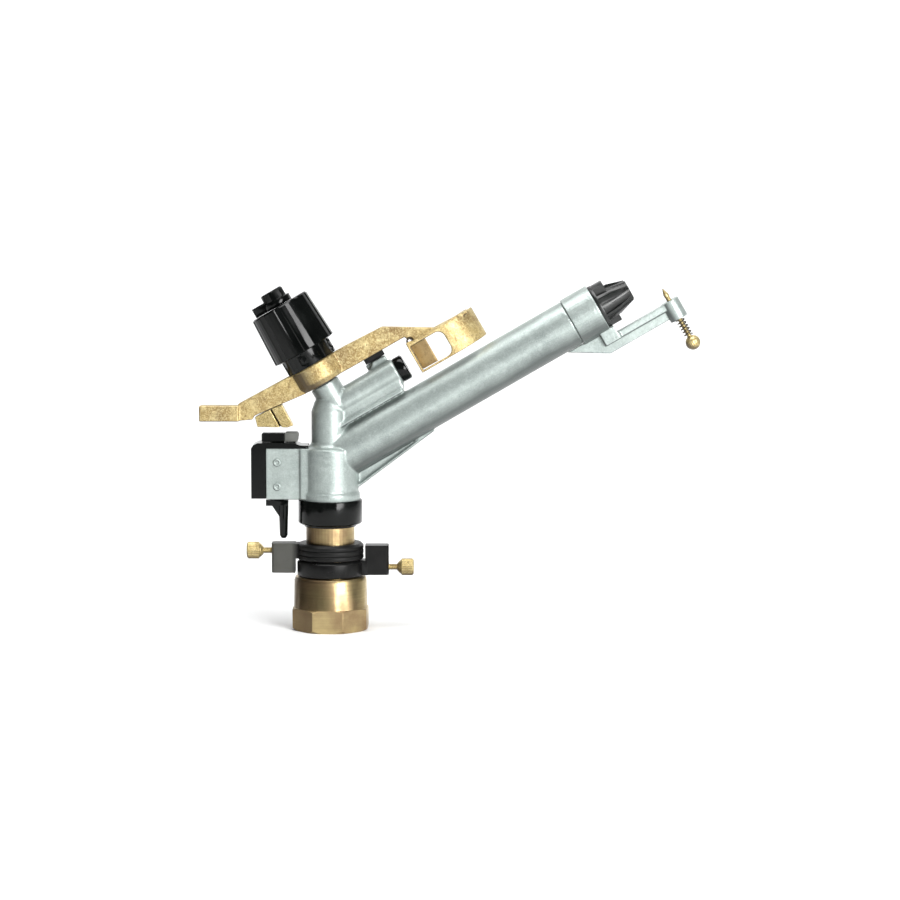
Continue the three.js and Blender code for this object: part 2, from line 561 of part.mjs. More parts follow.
// ---- arm ----
place("bumper_pad", tilt(slab([
  [DRIVE_END - 21.2, t2 + GAP], [DRIVE_END - 5.2, t2 + GAP], [DRIVE_END - 3.2, t2 + 1.4], [DRIVE_END - 3.2, PAD_Y],
  [DRIVE_END - 23.2, PAD_Y], [DRIVE_END - 23.2, t2 + 1.4],
], PAD_FOOT, HUB_BOTTOM + 7.6)), "rubber");
const WASHER = ring(PIN_R + GAP, PIN_R + 5, BOSS_TOP + 0.2, HUB_BOTTOM - 0.2, 20);
place("pivot_washer", tilt(WASHER.translate([PIVOT_U, 0, 0])), "steel");

// lower corner and top of the left beam's end, where the tail and the striker meet it
const BEAM_FOOT = [-39, HUB_BOTTOM + 6];
const BEAM_END = [-46.5, HUB_TOP + 2.2];
const FOOT = toRow(...BEAM_FOOT);
const END = toRow(...BEAM_END);
const NOTCH_W = SPOON_TOP + 1.4;
const WINDOW_U0 = DRIVE_END + 37.4; // vane, window and spoon, along the small jet
const WINDOW_U1 = DRIVE_END + 52.8;
const VANE_U = DRIVE_END + 19.3;
const VANE_POST = 1.8;
const PIN_HOLE_R = 3.5; // of the rolled pin above the vane
{
  const hub = turned([
    [0, HUB_BOTTOM], [ARM_HUB_R - 3, HUB_BOTTOM], [ARM_HUB_R, HUB_BOTTOM + 5], [ARM_HUB_R, HUB_TOP - 1],
    [ARM_HUB_R - 1, HUB_TOP], [0, HUB_TOP],
  ], 40).translate([PIVOT_U, 0, 0]);
  const right = plate([
    [PIVOT_U, HUB_BOTTOM], [VANE_U + 2.3, HUB_BOTTOM - 0.4], [VANE_U + 2.3, SPOON_TOP - 2],
    [SPOON_U - 1.5, SPOON_TOP - 3], [SPOON_U - 1.5, SPOON_TOP], [WINDOW_U1 - 4, SPOON_TOP + 1.1],
    [DRIVE_END + 7.9, HUB_TOP - 2.4], [PIVOT_U + 34, HUB_TOP - 0.5], [PIVOT_U, HUB_TOP - 0.1],
  ], -t2, t2);
  const curl = rod(PIN_HOLE_R, -t2 - 1, t2 + 1, 16).rotate([90, 0, 0]).translate([VANE_U + 4.1, 0, NOTCH_W]);
  const left = plate([
    [PIVOT_U, HUB_BOTTOM], [PIVOT_U - 20, HUB_BOTTOM], [-3.7, HUB_BOTTOM + 1.9], BEAM_FOOT,
    [BEAM_END[0] + 0.5, HUB_BOTTOM + 10.6], BEAM_END, [4, HUB_TOP + 0.9], [PIVOT_U, HUB_TOP - 0.1],
  ], -t2 - 1, t2 + 1);
  // spoon: an upright wall that sweeps from the near side of the small jet to its far side
  const nearY = -12;
  const SPOON_R = SPOON_U - WINDOW_U1 - 0.5;
  const spoon = arcWall(WINDOW_U1 + 3, nearY + SPOON_R, SPOON_R, 3.2, -90, -6, SPOON_W0, SPOON_TOP - 0.5);
  // frame round the window, with rounded corners towards the spoon
  const frame = plate([
    [VANE_U, SPOON_W0], [WINDOW_U1 + 4, SPOON_W0], [WINDOW_U1 + 4, SPOON_TOP + 0.4], [VANE_U, SPOON_TOP + 0.4],
  ], nearY - 1.6, nearY + 1.6);
  const windowShape = new THREE.Shape();
  const [wu0, wu1, ww0, ww1, wr] = [VANE_U + VANE_POST, WINDOW_U1 + 1.5, SPOON_W0 + 1.9, SPOON_TOP - 3, 7];
  windowShape.moveTo(wu0, ww0);
  windowShape.lineTo(wu1 - wr, ww0);
  windowShape.absarc(wu1 - wr, ww0 + wr, wr, -Math.PI / 2, 0);
  windowShape.absarc(wu1 - wr, ww1 - wr, wr, 0, Math.PI / 2);
  windowShape.lineTo(wu0, ww1);
  const opening = plate(windowShape, nearY - 3, nearY + 3);
  const vaneRoot = block(VANE_U, VANE_U + 5.5, nearY, 6, SPOON_TOP - 2.2, SPOON_TOP + 1.5);
  const frontFoot = block(VANE_U, VANE_U + VANE_POST, nearY, 5, SPOON_W0, SPOON_TOP - 1);
  const topBar = slab([
    [VANE_U + 3.5, t2], [VANE_U + 3.5, nearY - 1.6], [SPOON_U - 12, nearY + 2], [SPOON_U - 1.5, t2], [SPOON_U - 1.5, 15],
    [SPOON_U - 4, 15], [SPOON_U - 12, t2],
  ], SPOON_TOP - 3, SPOON_TOP + 0.4);
  const holes = rod(BUSH_R + GAP, HUB_BOTTOM - 2, HUB_TOP + 2, 32).translate([PIVOT_U, 0, 0]);
  const whole = all(hub, right, left, spoon, cut(frame, opening), vaneRoot, frontFoot, topBar);
  const tiltedArm = tilt(cut(whole, curl, holes));
  const tailTop = END[1] - 1.5;
  const bar = block(END[0] - TAIL_L, END[0] + 0.9, -TAIL_W / 2, TAIL_W / 2, tailTop - TAIL_H, tailTop);
  const join = plate([
    [END[0] - 7, tailTop - TAIL_H], [FOOT[0] - 1.6, FOOT[1] - 3.5], FOOT, [FOOT[0] - 10, FOOT[1] + 8],
    [END[0], tailTop], [END[0] - 7, tailTop],
  ], -t2 - 1, t2 + 1);
  const cap = tilt(rod(ARM_HUB_R + 5, DRIVE_TOP - 15, HUB_BOTTOM, 32).translate([PIVOT_U, 0, 0]));
  const skirt = tilt(rod(SKIRT_R + 0.8, HUB_TOP, HUB_TOP + 12, 32).translate([PIVOT_U, 0, 0]));
  place("drive_arm", cut(all(tiltedArm, bar, join), cap, skirt), "arm_brass");
  const bush = (z0, z1) => tilt(ring(PIN_R + GAP, BUSH_R, z0, z1, 20).translate([PIVOT_U, 0, 0]));
  place("lower_bush", bush(HUB_BOTTOM, HUB_BOTTOM + 9.6), "steel");
  place("upper_bush", bush(HUB_TOP - 9.6, HUB_TOP), "steel");
  const pin = ring(1.7, PIN_HOLE_R - GAP, -t2 - 0.6, t2 + 0.6, 20);
  place("vane_pin", tilt(pin.rotate([90, 0, 0]).translate([VANE_U + 4.1, 0, NOTCH_W])), "spring");
  // inclined vane ahead of the window
  place("drive_vane", tilt(slab([
    [VANE_U + VANE_POST + GAP, 0], [VANE_U + VANE_POST + GAP, -3.5], [WINDOW_U0 - 1.6, -9.6], [WINDOW_U0, -9.8],
    [WINDOW_U0, -7],
  ], SPOON_W0 + 2 + GAP, SPOON_TOP - 3 - GAP)), "vane_brass");
}
{
  const at = ([x, z]) => [FOOT[0] + x, FOOT[1] + z];
  const outline = [[0.8, -1.1], [16, 7], [25.7, 10.5], [36, -8.9], [31, -10.7], [3, -10.2]].map(at);
  const slit = plate([[14.8, 6.1], [16.6, 6.1], [26.4, -11.9], [24.6, -11.9]].map(at), -9, 3);
  const beam = tilt(plate([
    [14, HUB_BOTTOM - GAP], [-3.7, HUB_BOTTOM + 1.9 - GAP], [BEAM_FOOT[0], BEAM_FOOT[1] - GAP], [-50, HUB_BOTTOM + 10.6],
    [-50, HUB_TOP + 5], [14, HUB_TOP + 5],
  ], -20, 20));
  const tail = plate([[-25, -5.9], [-1.3, -3.9], [0.4, 0], [-10, 12.1], [-25, 12.1]].map(at), -20, 20);
  const hubClear = tilt(rod(ARM_HUB_R + GAP, HUB_BOTTOM - 8, HUB_TOP, 32).translate([PIVOT_U, 0, 0]));
  place("striker", cut(plate(outline, -7, 7), beam, tail, slit, hubClear), "arm_brass");
}

// ---- pivot, spring and cap ----
{
  const skirt0 = HUB_TOP + GAP;
  const skirt1 = skirt0 + SKIRT_H;
  const top = skirt1 + CAP_H;
  const wall = CAP_WALL;
  const at = (solid) => tilt(solid.translate([PIVOT_U, 0, 0]));
  place("pivot_pin", at(turned([
    [0, BOSS_TOP - 11], [PIN_R, BOSS_TOP - 11], [PIN_R, top - wall - 9], [PIN_R - 0.9, top - wall - 9], [PIN_R - 0.9, top + KNOB_H - 4],
    [0, top + KNOB_H - 4],
  ], 24)), "steel");
  const outer = turned([
    [0, skirt0], [SKIRT_R, skirt0], [SKIRT_R, skirt1 - 2], [CAP_R0, skirt1], [CAP_R1, top - 1.5], [CAP_R1 - 1.5, top],
    [0, top],
  ], 48);
  const hollow = turned([
    [0, skirt0 - 1], [SKIRT_R - wall, skirt0 - 1], [SKIRT_R - wall, skirt1], [CAP_R0 - wall - 1.5, skirt1 + 2],
    [CAP_R1 - wall - 1.5, top - wall], [0, top - wall],
  ], 40);
  const facets = faceted(CAP_R0 + 0.4, CAP_R1 / CAP_R0, skirt1 - 1, top + 1);
  const skirtFacets = faceted(SKIRT_R + 0.4, 1, skirt0 - 1, skirt1 + 1);
  const shape = all(skirtFacets.intersect(rod(SKIRT_R, skirt0, skirt1, 48)), facets.intersect(outer));
  // blind pockets in the skirt, each round a peg
  const pocket = block(-4, 4, -SKIRT_R - 3, 1.6 - SKIRT_R, skirt0 + 3.4, skirt1 - 2.6);
  const peg = turned([[0, 0], [3, 0], [3, 3.4], [2.2, 4], [0, 4]], 16).rotate([90, 0, 0])
    .translate([0, 4 - SKIRT_R, skirt0 + 8]);
  const turn = FACET_TURN - 25;
  const pinHole = rod(PIN_R + GAP, top - wall - 4, top + 2, 24);
  const pockets = cut(polar(pocket, 4, turn), polar(peg, 4, turn));
  place("spring_cap", at(cut(shape, hollow, pockets, pinHole)), "black");
  place("torsion_spring", at(coil(13.5, 1.5, HUB_TOP + 0.4, top - wall - 13, 6.5, 12, 5)), "spring");
  place("pivot_nut", at(hexNut(9.2, PIN_R - 0.9 + GAP, top - wall - 8.7, top - wall - 0.4)), "steel");
  const knobBody = turned([
    [0, top + GAP], [KNOB_R + 2.6, top + GAP], [KNOB_R + 2.6, top + 6], [KNOB_R, top + 6.6],
    [KNOB_R, top + KNOB_H - 1.2], [KNOB_R - 1.2, top + KNOB_H], [0, top + KNOB_H],
  ], 32);
  const lug = block(-KNOB_LUG, 0, -5, 5, top + GAP, top + 9.3);
  const flats = polar(block(KNOB_R - 1.1, KNOB_R + 3, -3.2, 3.2, top + 7, top + KNOB_H + 1), 6, 0);
  const knobHole = rod(PIN_R + GAP, top - 1, top + KNOB_H - 3.4, 24);
  place("tension_adjuster", at(cut(all(cut(knobBody, flats), lug), knobHole)), "black");
}

// ---- jet breaker ----
{
  const at = (solid) => tilt(solid.translate([BREAKER_U, 0, 0]));
  place("breaker_screw", at(turned([
    [0, BALL_W + 3], [NEEDLE_R, BALL_W + 3], [NEEDLE_R, NEEDLE_TIP_W - 5.8], [0.5, NEEDLE_TIP_W], [0, NEEDLE_TIP_W],
  ], 20)), "brass");
  const ball = turned([
    [0, BALL_W - BALL_R], ...Array.from({ length: 9 }, (_, i) => {
      const a = (-80 + i * 20) * deg;
      return [BALL_R * Math.cos(a), BALL_W + BALL_R * Math.sin(a)];
    }), [0, BALL_W + BALL_R],
  ], 24);
  place("breaker_knob", at(cut(ball, rod(NEEDLE_R + GAP, BALL_W + 3 - GAP, BALL_W + BALL_R + 2, 20))), "brass");
  place("breaker_spring", at(coil(NEEDLE_R + 1.3, 0.6, BALL_W + BALL_R + GAP, BREAKER_BOSS_W - GAP, 5, 10, 4)), "spring");
}

// ---- reversing box ----
{
  const zb = HUB_Z0 + 1.1;
  const shell = all(
    block(BOX_X0 + 0.01, BOX_X1, -BOX_HALF, BOX_HALF, zb, HUB_Z1 + GAP),
    block(BOX_X0, PLATE_X0 - GAP, PLATE_Y0, BOX_HALF, zb, HUB_Z1 + GAP),
  );
  const roof = plate([
    [BOX_X0, HUB_Z1 - 4], [BOX_X0, BOX_TOP - 6], [BOX_X0 + 1.9, BOX_TOP - 1.9], [BOX_X0 + 6, BOX_TOP],
    [BOX_X1 - 4, BOX_TOP], [BOX_X1 + 2, BOX_TOP - 2.1], [BOX_X1 + 9.4, BOX_TOP - 2.5], [BOX_X1 + 9.4, HUB_Z1 + GAP],
    [PLATE_X0 - GAP, HUB_Z1 + GAP], [PLATE_X0 - GAP, HUB_Z1 - 4],
  ], PLATE_Y0, BOX_HALF);
  const inside = BOX_HALF - BOX_WALL;
  const cavity = block(BOX_X0 + 5, BOX_X1 - BOX_WALL, -inside, inside, zb - 2, HUB_Z1 - 1);
  const stemW = 3.6; // half width of the dog's stem
  const dogTravel = 4.7;
  const slotHalf = stemW + dogTravel + 0.1;
  const roofSlot = block(FINGER_X - 12.5, FINGER_X + 1.5, -slotHalf, slotHalf, HUB_Z1 - 3, BOX_TOP + 2);
  const shaftHole = along(rod(SHAFT_R + GAP, BOX_X0 + 2.4, BOX_X1 + 1, 16)).translate([0, 0, LEVER_Z]);
  const screwHoles = BOX_SCREWS_Z.map((z) => rod(1.8 + GAP, 0, 8, 16).rotate([90, 0, 0]).translate([BOX_SCREW_X, -6, z]));
  const hubClear = rod(HUB_R + 2, HUB_Z0 - 3, HUB_Z1 + 0.1, 48);
  const stemClear = rod(STEM_R + 3.2, HUB_Z1 - 1, BOX_TOP + 2, 48);
  const hubTop = rod(HUB_R + GAP, HUB_Z1 - 4, HUB_Z1 + 1.2, 48);
  const elbowClear = solidOf(new THREE.SphereGeometry(BARREL_R + GAP, 32, 16)).translate([0, 0, ELBOW_Z]);
  place("trip_housing", cut(all(shell, roof), cavity, roofSlot, shaftHole, ...screwHoles, hubClear, stemClear, hubTop, elbowClear),
    "black");
  place("trip_shaft", along(rod(SHAFT_R, BOX_X0 + 3, BOX_X1 - 0.4, 16)).translate([0, 0, LEVER_Z]), "steel");
  ["housing_screw_lower", "housing_screw_upper"].forEach((name, i) => {
    place(name, turned([
      [0, 0], [1.8, 0], [1.8, 6.5], [3.7, 6.5], [3.6, 7.3], [3, 7.8], [2, 7.8], [1.6, 7], [0, 7],
    ], 20).rotate([90, 0, 0]).translate([BOX_SCREW_X, PLATE_Y1 + 2.3, BOX_SCREWS_Z[i]]), "aluminium");
  });
  // lever: plate on the shaft, foot under the box and a tapering finger
  const bladeL = FINGER_X - 12.5;
  const bladeR = FINGER_X + 0.5;
  const footZ = HUB_Z0 - 1.3;
  const dogZ = BOX_TOP + 0.4;
  const forkZ = HUB_Z1 + 0.4;
  const blade = plate([
    [bladeL, footZ - 2], [bladeR, footZ - 2], [bladeR, LEVER_Z + 12], [bladeR - 3.4, HUB_Z1 - 2.4],
    [bladeR - 3.4, HUB_Z1 + 2.5], [bladeL + 4.4, HUB_Z1 + 2.5], [bladeL + 4.4, HUB_Z1 - 2.4], [bladeL, LEVER_Z + 12],
  ], -1.5, 1.5);
  const hub = along(rod(SHAFT_R + 2.2, bladeL, bladeR, 20)).translate([0, 0, LEVER_Z]);
  const foot = block(FINGER_X - 16.2, FINGER_X + 4.6, -4.5, 4.5, footZ - 5.6, footZ);
  const brace = plate([
    [bladeL - 0.2, footZ - 4.9], [FINGER_X - 10.4, footZ - 6.2], [FINGER_X - 3.9, footZ - 15.9],
    [FINGER_X - 0.5, footZ - 15.9], [FINGER_X - 0.5, footZ - 4.9],
  ], -2, 2);
  const finger = turned([
    [0, FINGER_TIP_Z], [2.2, FINGER_TIP_Z + 0.5], [3.7, FINGER_TIP_Z + 3.2], [4.6, footZ - 4.9], [0, footZ - 4.9],
  ], 20).translate([FINGER_X, 0, 0]);
  const bore = along(rod(SHAFT_R + GAP, bladeL - 2, bladeR + 2, 16)).translate([0, 0, LEVER_Z]);
  place("trip_lever", cut(all(blade, hub, foot, brace, finger), bore), "black");
  // detent that holds the lever at either side
  const nose = bladeL - GAP;
  const catchZ = LEVER_Z + 8;
  place("detent_plunger", along(turned([
    [0, nose - 4.3], [2.3, nose - 4.3], [2.3, nose - 1.1], [1.2, nose], [0, nose],
  ], 16)).translate([0, 0, catchZ]), "steel");
  const catchCoil = coil(1.9, 0.35, BOX_X0 + 5 + GAP, nose - 4.3 - GAP, 4, 8, 4);
  place("detent_spring", along(catchCoil).translate([0, 0, catchZ]), "spring");
  // dog on the roof, moved by the lever's upper end
  const dogL = FINGER_X - 19.7;
  const dogR = FINGER_X + 1.3;
  const dogTop = dogZ + 8.3;
  const dog = all(
    plate([[dogL, dogZ], [dogL, dogTop - 1.2], [dogL + 1.2, dogTop], [dogR, dogTop], [dogR, dogZ]], -6.5, 6.5),
    block(bladeL + 1.5, bladeR - 0.5, -stemW, stemW, forkZ, dogZ + 1),
  );
  const fork = block(FINGER_X - 16, FINGER_X + 4, -1.9, 1.9, HUB_Z1 - 2, HUB_Z1 + 3.2);
  place("trip_dog", cut(dog, fork), "black");
  const padL = dogR + GAP;
  place("dog_insert", plate([
    [padL, dogZ], [padL, dogTop - 0.6], [padL + 1.3, dogTop + 0.4], [padL + 11.5, dogTop + 0.4],
    [padL + 13.1, dogTop - 1.6], [padL + 12.1, dogZ],
  ], -7, 7), "grey");
}

export default group;
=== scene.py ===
import json
import math
import bmesh
import bpy
from mathutils import Matrix, Vector


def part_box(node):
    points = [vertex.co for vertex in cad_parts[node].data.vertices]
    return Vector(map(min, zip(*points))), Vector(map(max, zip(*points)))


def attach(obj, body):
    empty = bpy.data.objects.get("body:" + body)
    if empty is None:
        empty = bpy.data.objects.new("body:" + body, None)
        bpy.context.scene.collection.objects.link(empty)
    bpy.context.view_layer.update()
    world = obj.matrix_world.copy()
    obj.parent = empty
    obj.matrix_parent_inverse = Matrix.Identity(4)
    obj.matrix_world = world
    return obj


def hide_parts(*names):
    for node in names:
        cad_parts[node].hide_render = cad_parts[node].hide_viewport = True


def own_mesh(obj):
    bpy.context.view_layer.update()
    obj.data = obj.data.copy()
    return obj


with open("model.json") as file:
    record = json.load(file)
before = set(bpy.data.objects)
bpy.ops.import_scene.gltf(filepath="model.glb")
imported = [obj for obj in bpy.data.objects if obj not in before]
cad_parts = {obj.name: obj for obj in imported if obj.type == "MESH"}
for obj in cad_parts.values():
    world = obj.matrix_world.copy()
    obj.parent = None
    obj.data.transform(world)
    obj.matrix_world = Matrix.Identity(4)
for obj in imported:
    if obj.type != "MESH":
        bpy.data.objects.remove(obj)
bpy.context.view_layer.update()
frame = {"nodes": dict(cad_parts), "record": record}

TAU = math.tau

# ---------------------------------------------------------------- frame
TILT = math.radians(30)
ELBOW = Vector((0, 0, 0.1567))
ALONG = Vector((math.cos(TILT), 0, math.sin(TILT)))   # along the barrel
SQUARE = Vector((-math.sin(TILT), 0, math.cos(TILT)))  # square to the barrel
BACK = Vector((0, 1, 0))


def tilted(u, v, w):
    return ELBOW + ALONG * u + BACK * v + SQUARE * w


BODY_OF = {}
for body, names in frame["record"]["behaviour"]["bodies"].items():
    for name in names:
        BODY_OF[name] = body
SLOT_OF = {s["node"]: s["material_slot"] for s in frame["record"]["subparts"]}


# ---------------------------------------------------------------- camera
def aim(obj, target):
    obj.rotation_euler = (Vector(target) - obj.location).to_track_quat("-Z", "Y").to_euler()


camera = bpy.data.objects.new("camera", bpy.data.cameras.new("camera"))
bpy.context.scene.collection.objects.link(camera)
bpy.context.scene.camera = camera
SEEN_WIDTH = 0.837
DISTANCE = 2.6
ELEVATION = math.radians(6)
TARGET = Vector((0.1116, 0, 0.1676))
camera.data.sensor_width = 36
camera.data.lens = 36 * DISTANCE / SEEN_WIDTH
camera.location = TARGET + DISTANCE * Vector((0, -math.cos(ELEVATION), math.sin(ELEVATION)))
aim(camera, TARGET)


# ---------------------------------------------------------------- materials
class Nodes:
    """A short way to write a node tree."""

    def __init__(self, name):
        self.material = bpy.data.materials.new(name)
        self.material.use_nodes = True
        self.tree = self.material.node_tree
        self.shader = self.tree.nodes["Principled BSDF"]
        coordinates = self.tree.nodes.new("ShaderNodeTexCoord")
        self.place = coordinates.outputs["Object"]
        self.place_normal = coordinates.outputs["Normal"]

    def add(self, kind, settings=None, **inputs):
        node = self.tree.nodes.new(kind)
        for key, value in (settings or {}).items():
            setattr(node, key, value)
        for key, value in inputs.items():
            self.link(node.inputs[key.replace("_", " ")], value)
        return node

    def link(self, socket, value):
        if isinstance(value, bpy.types.NodeSocket):
            self.tree.links.new(value, socket)
        else:
            socket.default_value = value

    def stretched(self, scale):
        mapping = self.add("ShaderNodeMapping", Vector=self.place)
        mapping.inputs["Scale"].default_value = scale
        return mapping.outputs[0]

    def noise(self, scale, detail=4.0, vector=None, rough=0.55):
        return self.add("ShaderNodeTexNoise", Vector=vector or self.place, Scale=scale, Detail=detail,
                        Roughness=rough).outputs["Fac"]

    def ramp(self, value, low, high, a, b):
        """value between low and high gives a number between a and b"""
        node = self.add("ShaderNodeMapRange", Value=value)
        for key, number in (("From Min", low), ("From Max", high), ("To Min", a), ("To Max", b)):
            node.inputs[key].default_value = number
        return node.outputs[0]

    def mix(self, factor, a, b, mode="MIX"):
        node = self.tree.nodes.new("ShaderNodeMix")
        node.data_type = "RGBA"
        node.blend_type = mode
        self.link(node.inputs["Factor"], factor)
        self.link(node.inputs[6], a)
        self.link(node.inputs[7], b)
        return node.outputs[2]

    def maths(self, operation, a, b):
        node = self.tree.nodes.new("ShaderNodeMath")
        node.operation = operation
        self.link(node.inputs[0], a)
        self.link(node.inputs[1], b)
        return node.outputs[0]

    def axes(self, vector):
        """the x, y and z of a vector as sockets"""
        node = self.tree.nodes.new("ShaderNodeSeparateXYZ")
        self.link(node.inputs[0], vector)
        return node.outputs

    def bump(self, height, strength, distance, normal=None):
        node = self.add("ShaderNodeBump", Height=height, Strength=strength, Distance=distance)
        if normal is not None:
            self.link(node.inputs["Normal"], normal)
        return node.outputs[0]

    def edges(self, radius=0.0012):
        """1 on sharp outer edges, where a finish rubs off"""
        bevel = self.add("ShaderNodeBevel", {"samples": 4}, Radius=radius)
        geometry = self.tree.nodes.new("ShaderNodeNewGeometry")
        dot = self.tree.nodes.new("ShaderNodeVectorMath")
        dot.operation = "DOT_PRODUCT"
        self.link(dot.inputs[0], bevel.outputs[0])
        self.link(dot.inputs[1], geometry.outputs["Normal"])
        return self.ramp(dot.outputs["Value"], 0.98, 0.86, 0.0, 1.0)

    def done(self, **sockets):
        for key, value in sockets.items():
            self.link(self.shader.inputs[key.replace("_", " ")], value)
        return self.material


def rgb(r, g, b):
    return (r, g, b, 1.0)


SHADE_DARKNESS = 0.22    # how much of a casting's dark colour is left in its painted shade
LEFT_SHADE_DARKNESS = 0.35  # the same for the painted shade on turned metal's left side


def dimmed(colour, share):
    return rgb(*(c * share for c in colour[:3]))


def cast_metal(name, base, dark, light, grain, rough, metallic, coarse=260.0, mottle=0.55, painted_shade=0.95):
    """sand-cast surface, with painted shade where it faces down or left"""
    n = Nodes(name)
    cloud = n.noise(26.0, 4.0)
    patch = n.noise(coarse * 0.35, 3.0)
    speck = n.noise(coarse * 2.2, 3.0, rough=0.7)
    pits = n.noise(coarse, 5.0, rough=0.65)
    colour = n.mix(n.ramp(cloud, 0.32, 0.66, 0.0, 1.0), dark, base)
    colour = n.mix(n.ramp(patch, 0.50, 0.70, 0.0, mottle * 0.7), colour, light)
    colour = n.mix(n.ramp(speck, 0.45, 0.70, 0.0, mottle), colour, light)
    colour = n.mix(n.ramp(pits, 0.46, 0.30, 0.0, mottle * 1.2), colour, dark)
    # painted shade: darker and less metallic where the surface faces down or left
    facing = n.axes(n.place_normal)
    left = n.maths("MULTIPLY", n.maths("MINIMUM", facing["X"], 0.0), 0.55)
    down = n.maths("ADD", n.maths("ADD", facing["Z"], left), n.maths("MULTIPLY", cloud, 0.2))
    shade_mask = n.ramp(down, 0.0, -0.5, 0.0, painted_shade)
    colour = n.mix(shade_mask, colour, dimmed(dark, SHADE_DARKNESS))
    first = n.bump(pits, grain, 0.0006)
    second = n.bump(speck, grain * 0.8, 0.00025, first)
    shine = n.maths("MULTIPLY", n.maths("SUBTRACT", 1.0, shade_mask), metallic)
    return n.done(Base_Color=colour, Metallic=shine, Normal=second,
                  Roughness=n.ramp(speck, 0.3, 0.7, rough - 0.07, rough + 0.1))


def turned_metal(name, base, dark, rough, lines=900.0, painted_shade=0.0):
    """turned surface, with painted shade on its left side"""
    n = Nodes(name)
    rings = n.noise(lines, 3.0, n.stretched((0.02, 0.02, 1.0)), 0.7)
    patina = n.noise(38.0, 4.0)
    scratch = n.noise(420.0, 2.0, n.stretched((1.0, 1.0, 0.12)))
    colour = n.mix(n.ramp(patina, 0.38, 0.7, 0.0, 1.0), base, dark)
    colour = n.mix(n.ramp(rings, 0.35, 0.65, 0.0, 0.35), colour, dark)
    # painted shade on left-facing sides
    if painted_shade > 0:
        side = n.maths("ADD", n.axes(n.place_normal)["X"], n.maths("MULTIPLY", patina, 0.3))
        colour = n.mix(n.ramp(side, 0.1, -0.55, 0.0, painted_shade), colour, dimmed(dark, LEFT_SHADE_DARKNESS))
    normal = n.bump(rings, 0.22, 0.0004)
    normal = n.bump(scratch, 0.08, 0.0003, normal)
    return n.done(Base_Color=colour, Metallic=1.0, Normal=normal,
                  Roughness=n.ramp(patina, 0.3, 0.7, rough - 0.05, rough + 0.12))


EAR_ROOT = (-0.030, -0.036)  # between these x the stop ring's ear turns greyer towards its tip
EAR_TIP_GREY = rgb(0.10, 0.10, 0.09)


def plastic(name, base, worn, rough, grain, gloss, grey_tip=False):
    """moulded surface, worn at its edges"""
    n = Nodes(name)
    fine = n.noise(900.0, 3.0)
    smear = n.noise(46.0, 4.0)
    colour = n.mix(n.ramp(smear, 0.4, 0.75, 0.0, 0.5), base, worn)
    colour = n.mix(n.maths("MULTIPLY", n.edges(), 0.6), colour, worn)
    if grey_tip:
        # greyer towards the ear's tip, by x
        ear = n.ramp(n.axes(n.place)["X"], *EAR_ROOT, 0.0, 0.8)
        tip_grey = n.maths("MULTIPLY", ear, n.ramp(smear, 0.2, 0.6, 0.6, 1.0))
        colour = n.mix(tip_grey, colour, EAR_TIP_GREY)
    n.shader.inputs["Specular IOR Level"].default_value = gloss
    return n.done(Base_Color=colour, Normal=n.bump(fine, grain, 0.0003),
                  Roughness=n.ramp(smear, 0.3, 0.7, rough - 0.05, rough + 0.1))


BLACK = (rgb(0.004, 0.004, 0.004), rgb(0.015, 0.015, 0.014))

# cast_metal: base, dark, light, grain, rough, metallic, coarse, mottle, painted_shade
CAST = {
    "cast_aluminium": (rgb(0.40, 0.455, 0.432), rgb(0.29, 0.335, 0.32), rgb(0.58, 0.65, 0.62),
                       0.4, 0.34, 0.5, 420.0, 0.45),
    "cast_brass": (rgb(0.52, 0.38, 0.15), rgb(0.23, 0.145, 0.055), rgb(0.82, 0.70, 0.37),
                   0.7, 0.42, 0.5, 340.0, 0.8),
    # darker copy of the cast brass: painted shade on the drive vane
    "vane_brass": (rgb(0.46, 0.32, 0.14), rgb(0.22, 0.14, 0.06), rgb(0.62, 0.47, 0.24),
                   0.6, 0.5, 0.4, 340.0, 0.6, 0.3),
    "bright_brass": (rgb(0.66, 0.52, 0.22), rgb(0.34, 0.24, 0.09), rgb(0.88, 0.76, 0.42),
                     0.4, 0.3, 0.7, 500.0, 0.6),
}
# turned_metal: base, dark, rough, lines, painted_shade
TURNED = {
    "turned_brass": (rgb(0.60, 0.48, 0.24), rgb(0.30, 0.20, 0.11), 0.33, 900.0, 0.85),
    "steel": (rgb(0.50, 0.51, 0.52), rgb(0.30, 0.30, 0.31), 0.3),
    "spring_steel": (rgb(0.16, 0.13, 0.09), rgb(0.08, 0.07, 0.05), 0.35),
}
# plastic: base, worn, rough, grain, gloss, dusty
MOULDED = {
    "black_plastic": (rgb(0.0018, 0.0022, 0.002), rgb(0.005, 0.0065, 0.0058), 0.13, 0.015, 0.24),
    "rib_plastic": (rgb(0.002, 0.0024, 0.0022), rgb(0.02, 0.024, 0.021), 0.26, 0.05, 0.6),
    "ring_plastic": (*BLACK, 0.30, 0.12, 0.2),
    "dusty_plastic": (*BLACK, 0.4, 0.2, 0.2, True),
    "grey_plastic": (rgb(0.12, 0.125, 0.115), rgb(0.24, 0.24, 0.22), 0.55, 0.4, 0.4),
    "rubber": (rgb(0.010, 0.010, 0.010), rgb(0.03, 0.03, 0.03), 0.7, 0.3, 0.25),
}
LOOK = {}
for make, table in ((cast_metal, CAST), (turned_metal, TURNED), (plastic, MOULDED)):
    for name, values in table.items():
        LOOK[name] = make(name, *values)


# ---------------------------------------------------------------- pieces
def link(name, mesh, body, slot, look=None, replaces=()):
    obj = bpy.data.objects.new(name, mesh)
    bpy.context.scene.collection.objects.link(obj)
    mesh.materials.clear()
    mesh.materials.append(LOOK[look or slot])
    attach(obj, body)
    if replaces:
        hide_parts(*replaces)
    return obj


